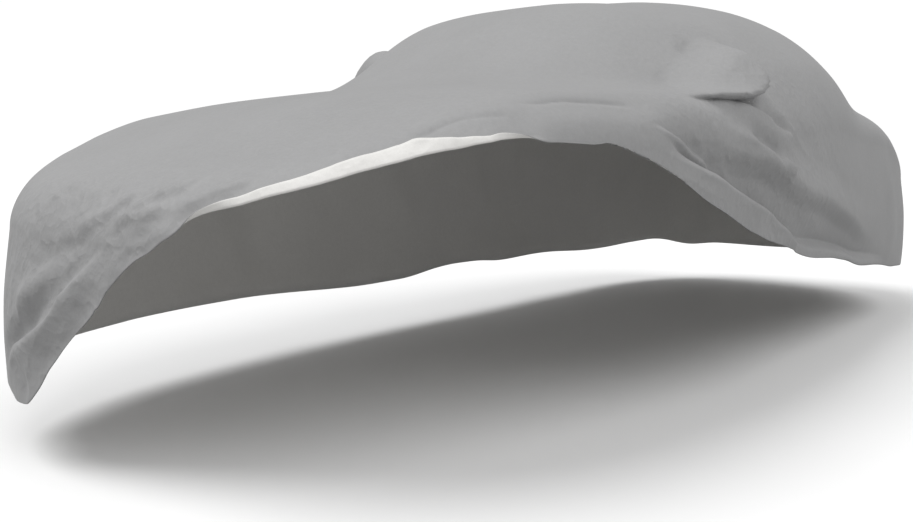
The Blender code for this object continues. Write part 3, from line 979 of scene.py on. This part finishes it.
@dataclass
class CoverCloth:
    """The one sheet that the cover is made of."""

    name: str = "draped_cloth"
    thickness: float = 0.003
    length_steps: int = 300
    girth_steps: int = 242
    full_rows: int = 14
    eased_block: tuple[int, int] = (60, 40)
    easing_passes: int = 160
    easing_share: float = 0.5
    inner_slack: float = 0.6
    length_crowding: Points = ((0.0, 5.0), (0.10, 4.2), (0.45, 3.0), (0.60, 1.4), (1.0, 1.0))
    girth_crowding: Points = (
        (0.0, 1.0), (0.18, 1.0), (0.32, 3.0), (0.75, 2.2), (0.85, 3.0), (1.0, 3.6),
    )
    probe: float = 0.003
    form: SmoothForm = field(default_factory=SmoothForm)
    hem: Hem = field(default_factory=Hem)
    folds: Sequence[Fold] = ()
    pockets: Sequence[Pocket] = ()
    crumples: Sequence[Crumple] = ()
    patches: Sequence[CreasedPatch] = ()

    @staticmethod
    def _crowded(steps: int, crowding: Points) -> np.ndarray:
        """Return shares from 0 to 1 that lie as closely as a table says.

        Args:
            steps: How many steps the shares make.
            crowding: Pairs of a share and how closely the shares lie there.

        Returns:
            One share more than there are steps.
        """
        even = np.linspace(0.0, 1.0, CROWDING_SAMPLES)
        density = np.interp(even, [row[0] for row in crowding], [row[1] for row in crowding])
        count = np.r_[0.0, np.cumsum(0.5 * (density[1:] + density[:-1]))]
        return np.interp(np.linspace(0.0, count[-1], steps + 1), count, even)

    def _girth_shares(self) -> np.ndarray:
        """Return the grid's shares across, right to left."""
        return self._crowded(self.girth_steps, self.girth_crowding)

    def _pattern(self) -> np.ndarray:
        """Return the flat pattern as a grid, nose to tail and right to left.

        Returns:
            Points of x and y, by row and column.
        """
        front, left, tail, right = self.hem.sides()

        def points(side: tuple[np.ndarray, np.ndarray], shares: np.ndarray) -> np.ndarray:
            """Return the points of one side at shares of its length."""
            return np.column_stack([np.interp(shares, side[0], side[1][:, k]) for k in (0, 1)])

        u = self._crowded(self.length_steps, self.length_crowding)
        v = self._girth_shares()
        near, far = points(front, v), points(tail, 1.0 - v)
        right_edge, left_edge = points(right, 1.0 - u), points(left, u)
        across, down = v[None, :, None], u[:, None, None]
        grid = (
            (1 - down) * near[None]
            + down * far[None]
            + (1 - across) * right_edge[:, None]
            + across * left_edge[:, None]
            - (1 - down) * (1 - across) * near[0]
            - (1 - down) * across * near[-1]
            - down * (1 - across) * far[0]
            - down * across * far[-1]
        )
        width = self.hem.strip_values(v, "width")
        turn = self.hem.strip_values(v, "turn")
        allowance = (width + np.pi * self.hem.turn_radius) * (1.0 - turn) * self.hem.taper(v)
        inward = self._inward(grid[0])
        for i in range(self.hem.ease_rows):
            grid[i] += inward * (allowance * (1.0 - i / self.hem.ease_rows))[:, None]
        rows, columns = self.eased_block
        block = grid[:rows, -columns:]
        for _ in range(self.easing_passes):
            sides = block[:-2, 1:-1] + block[2:, 1:-1] + block[1:-1, :-2] + block[1:-1, 2:]
            eased = self.easing_share * (sides / 4)
            block[1:-1, 1:-1] = (1.0 - self.easing_share) * block[1:-1, 1:-1] + eased
        return grid

    @staticmethod
    def _inward(edge: np.ndarray) -> np.ndarray:
        """Return the directions from the pattern's front edge into the cloth.

        Args:
            edge: The front edge on the flat pattern, right to left.

        Returns:
            One unit direction a point.
        """
        tangent = np.gradient(edge, axis=0)
        tangent /= np.linalg.norm(tangent, axis=1)[:, None]
        return np.column_stack([-tangent[:, 1], tangent[:, 0]])

    def drape(self, flat: np.ndarray) -> np.ndarray:
        """Carry pattern points onto the draped cloth, with all its folds.

        Args:
            flat: Rows of x and y on the flat pattern.

        Returns:
            Rows of x, y and z.
        """
        lift = self.hem.gathers(flat)
        for crumple in self.crumples:
            lift = lift + crumple.lift(flat)
        for fold in self.folds:
            lift = lift + fold.height * fold.share(flat)
        draped = self.form.hang(flat) + self.form.directions(flat) * lift[:, None]
        for pocket in self.pockets:
            draped = draped + pocket.shift(flat)
        return draped

    def _strip(
        self, front: np.ndarray, edge: np.ndarray, normal: np.ndarray
    ) -> tuple[np.ndarray, np.ndarray]:
        """Build the edge strip from the pattern's front edge and its drape.

        Args:
            front: The front edge on the flat pattern.
            edge: The same points on the draped cloth.
            normal: Outward directions there.

        Returns:
            The strip's rows and their outward directions, free edge first.
        """
        shares = self._girth_shares()
        width = self.hem.strip_values(shares, "width")
        turn = self.hem.strip_values(shares, "turn")
        turned, directions = self.hem.turned_strip(edge, normal, width, turn)
        outward = -self._inward(front)
        taper = self.hem.taper(shares)
        reaches = [out * taper for out in self.hem.strip_reaches(width)]
        flat = [front + outward * out[:, None] for out in reaches]
        straight = self.drape(np.concatenate(flat)).reshape(turned.shape)
        share = smooth_step(turn / self.hem.full_turn)[None, :, None]
        rows = share * turned + (1.0 - share) * straight
        return rows[::-1], directions[::-1]

    @staticmethod
    def _grid_directions(body: np.ndarray) -> np.ndarray:
        """Return outward directions at a grid's points, from the cells around each.

        Args:
            body: Points of x, y and z, by row and column.

        Returns:
            One unit direction a point.
        """
        cells = np.cross(body[:-1, 1:] - body[1:, :-1], body[1:, 1:] - body[:-1, :-1])
        cells /= np.linalg.norm(cells, axis=2)[:, :, None]
        around = np.zeros_like(body)
        for down in (0, 1):
            for across in (0, 1):
                rows, columns = cells.shape[:2]
                around[down : down + rows, across : across + columns] += cells
        return around / np.linalg.norm(around, axis=2)[:, :, None]

    def _faces(self) -> tuple[np.ndarray, np.ndarray, np.ndarray]:
        """Return the inner face, outward directions and creasing, strip first.

        Returns:
            The three, by row and column.
        """
        pattern = self._pattern()
        body = self.drape(pattern.reshape(-1, 2)).reshape(pattern.shape[:2] + (3,))
        normals = self._grid_directions(body)
        normals[0] = probed_directions(self.drape, pattern[0], self.probe)
        strip, directions = self._strip(pattern[0], body[0], normals[0])
        creased = np.max([patch.at(pattern) for patch in self.patches], axis=0)
        creased = np.concatenate([np.repeat(creased[:1], len(strip), axis=0), creased])
        return np.concatenate([strip, body]), np.concatenate([directions, normals]), creased

    def _thinned(self, inner: np.ndarray, directions: np.ndarray) -> np.ndarray:
        """Return every second row and column of the inner face, clear of the outer one.

        Args:
            inner: The inner face's points, by row and column.
            directions: The outward directions there.

        Returns:
            The points kept, pushed inward where their flat cells would come too near.
        """
        coarse, way = inner[::2, ::2].copy(), directions[::2, ::2]
        rows, columns = coarse.shape[0] - 1, coarse.shape[1] - 1
        past = np.zeros(coarse.shape[:2])
        for down in (0, 1, 2):
            for across in (0, 1, 2):
                a, b = 0.5 * down, 0.5 * across
                face = (1 - a) * ((1 - b) * coarse[:-1, :-1] + b * coarse[:-1, 1:])
                face = face + a * ((1 - b) * coarse[1:, :-1] + b * coarse[1:, 1:])
                fine = inner[down : down + 2 * rows : 2, across : across + 2 * columns : 2]
                out = directions[down : down + 2 * rows : 2, across : across + 2 * columns : 2]
                over = ((face - fine) * out).sum(axis=2) - self.inner_slack * self.thickness
                for i, j in ((0, 0), (0, 1), (1, 0), (1, 1)):
                    block = past[i : i + rows, j : j + columns]
                    np.maximum(block, over, out=block)
        past[:, 0] = past[:, -1] = past[-1] = 0.0
        return coarse - way * past[:, :, None]

    @staticmethod
    def _quads(index: np.ndarray) -> np.ndarray:
        """Return the four corners of each cell of an index grid, seen from outside.

        Args:
            index: Numbers of points, by row and column.

        Returns:
            Four numbers a row.
        """
        a, b = index[:-1, :-1].ravel(), index[:-1, 1:].ravel()
        c, d = index[1:, 1:].ravel(), index[1:, :-1].ravel()
        return np.column_stack([a, b, c, d])

    @staticmethod
    def _stitch(fine: np.ndarray, coarse: np.ndarray) -> list[tuple[int, ...]]:
        """Join a line of points to one with half as many steps, coarse side on the left.

        Args:
            fine: Numbers of the points along the line.
            coarse: Numbers of the points along the other.

        Returns:
            Faces as numbers of points.
        """
        faces: list[tuple[int, ...]] = []
        for k in range(len(coarse) - 1):
            start, middle, end = fine[2 * k : 2 * k + 3]
            faces.append((start, middle, coarse[k]))
            faces.append((middle, end, coarse[k + 1], coarse[k]))
        return [tuple(int(i) for i in face) for face in faces]

    def build(self) -> bpy.types.Object:
        """Build the sheet as one closed mesh, outer face first.

        The inner face has its full mesh only over the edge strip, which shows it.

        Returns:
            The cloth's object, with no finish yet.
        """
        inner, directions, creased = self._faces()
        outer = inner + directions * self.thickness
        rows, columns = inner.shape[:2]
        full = self.full_rows
        thinned = self._thinned(inner, directions)[full // 2 + 1 :]
        count = rows * columns
        index = np.arange(count).reshape(rows, columns)
        fine = np.arange((full + 1) * columns).reshape(full + 1, columns) + count
        coarse = np.arange(thinned.shape[0] * thinned.shape[1]) + fine[-1, -1] + 1
        coarse = coarse.reshape(thinned.shape[:2])
        outer_faces = self._quads(index).tolist()
        inner_faces = self._quads(fine)[:, ::-1].tolist()
        inner_faces += self._quads(coarse)[:, ::-1].tolist()
        inner_faces += self._stitch(fine[-1, ::-1], coarse[0, ::-1])
        joint = np.r_[fine[-1, 0], coarse[:, 0]], np.r_[fine[-1, -1], coarse[:, -1]]
        rim = self._quads(np.array([fine[0], index[0]])).tolist()
        rim += self._quads(np.array([index[: full + 1, 0], fine[:, 0]])).tolist()
        rim += self._quads(np.array([fine[:, -1], index[: full + 1, -1]])).tolist()
        rim += self._stitch(index[full:, 0], joint[0])
        rim += self._stitch(index[full:, -1][::-1], joint[1][::-1])
        rim += self._stitch(index[-1], coarse[-1])
        points = [outer.reshape(-1, 3), inner[: full + 1].reshape(-1, 3), thinned.reshape(-1, 3)]
        mesh = bpy.data.meshes.new(self.name)
        faces = outer_faces + inner_faces + rim
        mesh.from_pydata((np.concatenate(points) + ROW_SHIFT).tolist(), [], faces)
        slots = np.zeros(len(faces), dtype=np.int32)
        slots[len(outer_faces) : len(outer_faces) + len(inner_faces)] = 1
        mesh.materials.append(None)
        mesh.materials.append(None)
        mesh.polygons.foreach_set("material_index", slots)
        shares = [creased, creased[: full + 1], creased[::2, ::2][full // 2 + 1 :]]
        layer = mesh.attributes.new(CREASED, "FLOAT", "POINT")
        layer.data.foreach_set("value", np.concatenate([some.ravel() for some in shares]))
        mesh.shade_smooth()
        mesh.update()
        piece = bpy.data.objects.new(self.name, mesh)
        bpy.context.scene.collection.objects.link(piece)
        return piece

    def dress(self, piece: bpy.types.Object, outer: ClothFinish, inner: ClothFinish) -> None:
        """Give the two faces their finishes and tell the frame about the piece.

        Args:
            piece: The cloth's object.
            outer: The finish of its outer face.
            inner: The finish of its inner face.
        """
        piece.data.materials[0] = outer.material()
        piece.data.materials[1] = inner.material()
        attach(piece, "root")
        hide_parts("cover_cloth")


MAIN_FOLDS = (
    Fold("nose_valley", -0.024, 0.058, (
        (-0.68, -1.07), (-0.52, -1.06), (-0.392, -1.036), (-0.282, -1.004), (-0.209, -0.963),
        (-0.16, -0.927), (-0.114, -0.893), (-0.07, -0.855), (-0.02, -0.82)
    ), fade_in=0.35, fade_out=0.45),
    Fold("nose_edge", 0.022, 0.105, (
        (0.2, -0.745), (0.125, -0.79), (0.065, -0.838), (-0.005, -0.888), (-0.06, -0.935),
        (-0.115, -0.985), (-0.19, -1.022), (-0.3, -1.05), (-0.44, -1.068), (-0.6, -1.075)
    ), FoldShape.LIP, fade_in=0.4, fade_out=0.3, steep_share=0.26),
    Fold("nose_ridge", 0.012, 0.052, (
        (-0.38, -0.965), (-0.268, -0.922), (-0.2, -0.907), (-0.108, -0.866), (-0.03, -0.82))),
    Fold("nose_second_valley", -0.004, 0.03, (
        (0.11, -0.725), (0.054, -0.756), (0.004, -0.781), (-0.091, -0.826), (-0.22, -0.88)
    ), fade_in=0.15, fade_out=0.5),
    Fold("nose_hem_roll", -0.012, 0.055, (
        (0.11, -0.885), (0.055, -0.924), (0.002, -0.956), (-0.055, -1.01), (-0.146, -1.068),
        (-0.22, -1.1)), fade_in=0.35),
    Fold("bonnet_dip", -0.005, 0.05, (
        (0.66, -0.4), (0.693, -0.354), (0.717, -0.298), (0.762, -0.247), (0.797, -0.177),
        (0.85, -0.09))),
    Fold("bonnet_line", -0.006, 0.06, ((0.75, -0.18), (0.8, -0.02), (0.85, 0.2), (0.85, 0.48))),
    Fold("wing_ridge", 0.024, 0.1, (
        (1.36, 1.28), (1.322, 1.155), (1.262, 1.07), (1.222, 1.01), (1.188, 0.886),
        (1.131, 0.73), (1.079, 0.596), (1.045, 0.503), (1.011, 0.427), (0.965, 0.33),
        (0.93, 0.25)), FoldShape.LIP, fade_in=0.1, fade_out=0.35, steep_share=0.22),
    Fold("wing_trough", -0.052, 0.175, (
        (0.925, 0.26), (0.975, 0.385), (1.01, 0.475), (1.048, 0.575), (1.1, 0.715),
        (1.155, 0.875), (1.19, 0.99), (1.235, 1.08), (1.3, 1.24), (1.36, 1.44), (1.42, 1.72),
        (1.455, 2.05), (1.475, 2.4), (1.485, 2.75)
    ), FoldShape.LIP, fade_in=0.12, fade_out=0.3, steep_share=0.24),
    Fold("door_roll", 0.026, 0.12, (
        (0.93, 0.5), (0.99, 0.68), (1.026, 0.82), (1.055, 0.978), (1.095, 1.124), (1.161, 1.298),
        (1.227, 1.524), (1.302, 1.8), (1.351, 2.098), (1.42, 2.455)
    ), FoldShape.LIP, fade_in=0.2, fade_out=0.35, steep_share=0.55),
    Fold("far_side_fold_1", 0.022, 0.16, ((-0.95, 0.3), (-1.2, 0.42), (-1.52, 0.5))),
    Fold("far_side_fold_2", -0.022, 0.18, ((-0.98, 1.1), (-1.24, 1.34), (-1.56, 1.5))),
    Fold("far_side_fold_3", 0.024, 0.17, ((-0.97, 2.05), (-1.22, 2.2), (-1.54, 2.36))),
    Fold("tail_fold_1", 0.022, 0.15, ((-0.45, 3.85), (-0.52, 4.1), (-0.6, 4.36))),
    Fold("tail_fold_2", 0.024, 0.16, ((0.38, 3.85), (0.36, 4.12), (0.3, 4.42))),
    Fold("near_side_fold", 0.008, 0.16, ((0.98, 2.45), (1.18, 2.62), (1.48, 2.82))),
)

FINE_FOLDS = (
    Fold("nose_bright_ridge", 0.01, 0.036, (
        (-0.045, -0.782), (0.01, -0.756), (0.076, -0.733), (0.125, -0.7), (0.181, -0.683)
    ), FoldShape.CREASE),
    Fold("nose_fan_1", 0.013, 0.028, (
        (0.1, -0.752), (0.143, -0.742), (0.222, -0.728), (0.266, -0.71), (0.283, -0.685)
    ), FoldShape.CREASE),
    Fold("nose_fan_2", 0.013, 0.026, (
        (0.13, -0.728), (0.207, -0.703), (0.241, -0.682), (0.286, -0.663), (0.325, -0.605)
    ), FoldShape.CREASE),
    Fold("nose_fan_3", 0.013, 0.03, (
        (0.3, -0.712), (0.328, -0.702), (0.361, -0.683), (0.395, -0.657), (0.426, -0.638),
        (0.47, -0.6)), FoldShape.CREASE),
    Fold("nose_glint", 0.006, 0.028, (
        (-0.225, -0.715), (-0.199, -0.701), (-0.166, -0.675), (-0.1, -0.665)), FoldShape.CREASE),
    Fold("nose_pinch_1", -0.006, 0.018, (
        (0.092, -0.705), (0.094, -0.722), (0.096, -0.745)), FoldShape.CREASE),
    Fold("nose_pinch_2", -0.006, 0.018, (
        (0.126, -0.69), (0.133, -0.71), (0.141, -0.732)), FoldShape.CREASE),
    Fold("nose_blotch", -0.007, 0.05, (
        (-0.4, -1.08), (-0.34, -1.118), (-0.32, -1.151), (-0.37, -1.18))),
    Fold("bonnet_crease_1", -0.005, 0.02, (
        (0.66, -0.39), (0.687, -0.35), (0.696, -0.305), (0.713, -0.261), (0.74, -0.222),
        (0.79, -0.15)), FoldShape.CREASE),
    Fold("bonnet_crease_2", -0.006, 0.02, (
        (0.755, -0.13), (0.78, -0.063), (0.795, 0.022), (0.814, 0.085), (0.83, 0.156),
        (0.86, 0.29)), FoldShape.CREASE),
    Fold("wing_second_ridge", 0.018, 0.06, (
        (1.105, 0.7), (1.083, 0.65), (1.046, 0.6), (1.011, 0.52), (0.979, 0.446), (0.956, 0.376),
        (0.92, 0.28)), FoldShape.LIP, steep_share=0.3),
    Fold("door_lip", 0.02, 0.08, (
        (1.12, 1.2), (1.08, 1.122), (1.06, 1.053), (1.025, 0.948), (0.993, 0.841), (0.95, 0.68)
    ), FoldShape.LIP, fade_in=0.12, fade_out=0.5, steep_share=0.4),
    Fold("door_hollow", -0.018, 0.055, (
        (0.96, 0.86), (0.991, 0.958), (1.018, 1.021), (1.07, 1.12))),
    Fold("pocket_lip", 0.022, 0.07, (
        (1.01, 1.27), (0.985, 1.2), (0.96, 1.11), (0.937, 1.05), (0.912, 0.96), (0.885, 0.85),
        (0.87, 0.76), (0.83, 0.66)), FoldShape.LIP, fade_in=0.12, fade_out=0.25, steep_share=0.35),
    Fold("pocket_shadow", -0.014, 0.045, (
        (0.905, 1.03), (0.932, 1.09), (0.958, 1.165), (0.985, 1.24))),
    Fold("pocket_dimple", -0.012, 0.055, ((0.68, 0.99), (0.694, 0.95), (0.697, 0.9))),
    Fold("pocket_front_hollow", -0.008, 0.06, ((0.67, 0.8), (0.713, 0.765), (0.78, 0.67))),
)

POCKETS = (
    Pocket(
        "near_pocket", 0.810, 0.985, (0.088, 0.0, 0.006), 0.40, 0.165, 0.130, 0.058, 0.01, 2.8, 1.9
    ),
    Pocket(
        "far_pocket", -0.84, 1.12, (-0.095, 0.0, 0.138), 0.18, 0.23, 0.21, 0.27, 0.0, 2.2, 1.4
    ),
)

CRUMPLES = (
    Crumple("sway", 0.0016, 0.40, 3),
    Crumple("soft_creases", 0.0006, 0.17, 11, 30.0, 1.2, (0.3, 0.3), (2.6, 2.6)),
    Crumple("nose_creases", 0.0024, 0.065, 23, 45.0, 2.2, (-0.05, -0.90), (0.60, 0.34)),
    Crumple("nose_crinkles", 0.0012, 0.034, 29, 30.0, 1.8, (0.05, -0.87), (0.50, 0.26)),
    Crumple("hem_pinches", 0.0018, 0.028, 53, -56.0, 2.6, (0.12, -0.87), (0.34, 0.18)),
    Crumple("side_creases", 0.0030, 0.080, 37, 62.0, 2.4, (1.14, 1.05), (0.42, 1.00)),
    Crumple("pocket_creases", 0.0020, 0.050, 41, 20.0, 1.5, (0.86, 0.90), (0.24, 0.34)),
)

PATCHES = (
    CreasedPatch("nose", -0.05, -0.90, 0.85, 0.42, 1.0),
    CreasedPatch("front_hem", 0.55, -0.48, 0.60, 0.50, 0.45),
    CreasedPatch("near_wing", 1.10, 0.90, 0.55, 1.10, 0.75),
    CreasedPatch("pocket", 0.85, 0.95, 0.35, 0.45, 0.60),
)


# --- Studio -------------------------------------------------------------------


@dataclass(frozen=True)
class Studio:
    """A plain pale floor, a white surround and two soft lamps."""

    ground_z: float = -1.404
    half_floor: float = 40.0
    floor_seen: float = 0.95
    floor_light: float = 0.50
    floor_roughness: float = 0.9
    floor_specular: float = 0.1
    surround_seen: float = 1.02
    surround_light: float = 0.42
    lamps: tuple[tuple[tuple[float, float, float], float, float], ...] = (
        ((-0.30, -0.42, 0.90), 36.0, 1.75),
        ((0.80, -0.22, 0.95), 45.0, 1.15),
    )

    def build(self) -> None:
        """Make the floor, the surround and the lamps."""
        side = self.half_floor
        mesh = bpy.data.meshes.new("floor")
        corners = [(-side, -side), (side, -side), (side, side), (-side, side)]
        mesh.from_pydata([(x, y, self.ground_z) for x, y in corners], [], [(0, 1, 2, 3)])
        floor = bpy.data.objects.new("floor", mesh)
        bpy.context.scene.collection.objects.link(floor)
        pale = bpy.data.materials.new("pale_floor")
        pale.use_nodes = True
        shader = pale.node_tree.nodes["Principled BSDF"]
        paint = NodeGraph(pale.node_tree)
        view = paint.add("ShaderNodeLightPath").outputs["Is Camera Ray"]
        tone = paint.math("MULTIPLY", view, self.floor_seen - self.floor_light)
        paint.join(paint.math("ADD", tone, self.floor_light), shader.inputs["Base Color"])
        shader.inputs["Roughness"].default_value = self.floor_roughness
        shader.inputs["Specular IOR Level"].default_value = self.floor_specular
        mesh.materials.append(pale)
        world = bpy.data.worlds.new("surround")
        world.use_nodes = True
        graph = NodeGraph(world.node_tree)
        rays = graph.add("ShaderNodeLightPath").outputs["Is Camera Ray"]
        seen = graph.math("MULTIPLY", rays, self.surround_seen - self.surround_light)
        background = world.node_tree.nodes["Background"]
        background.inputs["Color"].default_value = (1.0, 1.0, 1.0, 1.0)
        graph.join(graph.math("ADD", seen, self.surround_light), background.inputs["Strength"])
        bpy.context.scene.world = world
        for number, (source, spread_deg, strength) in enumerate(self.lamps):
            lamp = bpy.data.lights.new(f"lamp_{number}", "SUN")
            lamp.angle = math.radians(spread_deg)
            lamp.energy = strength
            holder = bpy.data.objects.new(f"lamp_{number}", lamp)
            holder.rotation_euler = Vector(source).to_track_quat("Z", "Y").to_euler()
            bpy.context.scene.collection.objects.link(holder)
        bpy.context.scene.view_settings.view_transform = "Standard"


@dataclass(frozen=True)
class PhotoCamera:
    """The camera at the photograph's viewing angle, fitted to the cover's outline."""

    place: tuple[float, float, float] = (1.9027, -1.7648, 0.7666)
    yaw_deg: float = 38.597
    pitch_deg: float = 6.256
    focal_pixels: float = 876.9
    image_width: float = 913.0
    sensor_width: float = 36.0

    def build(self) -> bpy.types.Object:
        """Make the camera and make it the scene's own.

        Returns:
            The camera's object.
        """
        yaw, pitch = math.radians(self.yaw_deg), math.radians(self.pitch_deg)
        heading = Vector(
            (-math.sin(yaw) * math.cos(pitch), math.cos(yaw) * math.cos(pitch), -math.sin(pitch))
        )
        data = bpy.data.cameras.new("camera")
        data.sensor_width = self.sensor_width
        data.lens = self.sensor_width * self.focal_pixels / self.image_width
        camera = bpy.data.objects.new("camera", data)
        camera.location = Vector(self.place) + Vector(ROW_SHIFT)
        camera.rotation_euler = heading.to_track_quat("-Z", "Y").to_euler()
        bpy.context.scene.collection.objects.link(camera)
        bpy.context.scene.camera = camera
        return camera


def main() -> None:
    """Build the camera, the studio and the cover, and report each piece."""
    logging.basicConfig(level=logging.INFO, format="%(message)s")
    PhotoCamera().build()
    Studio().build()
    folds = MAIN_FOLDS + FINE_FOLDS
    cover = CoverCloth(folds=folds, pockets=POCKETS, crumples=CRUMPLES, patches=PATCHES)
    piece = cover.build()
    cover.dress(piece, GREY_FACE, WHITE_FACE)
    LOG.info("%s: %d faces", piece.name, len(piece.data.polygons))


if __name__ == "__main__":
    main()
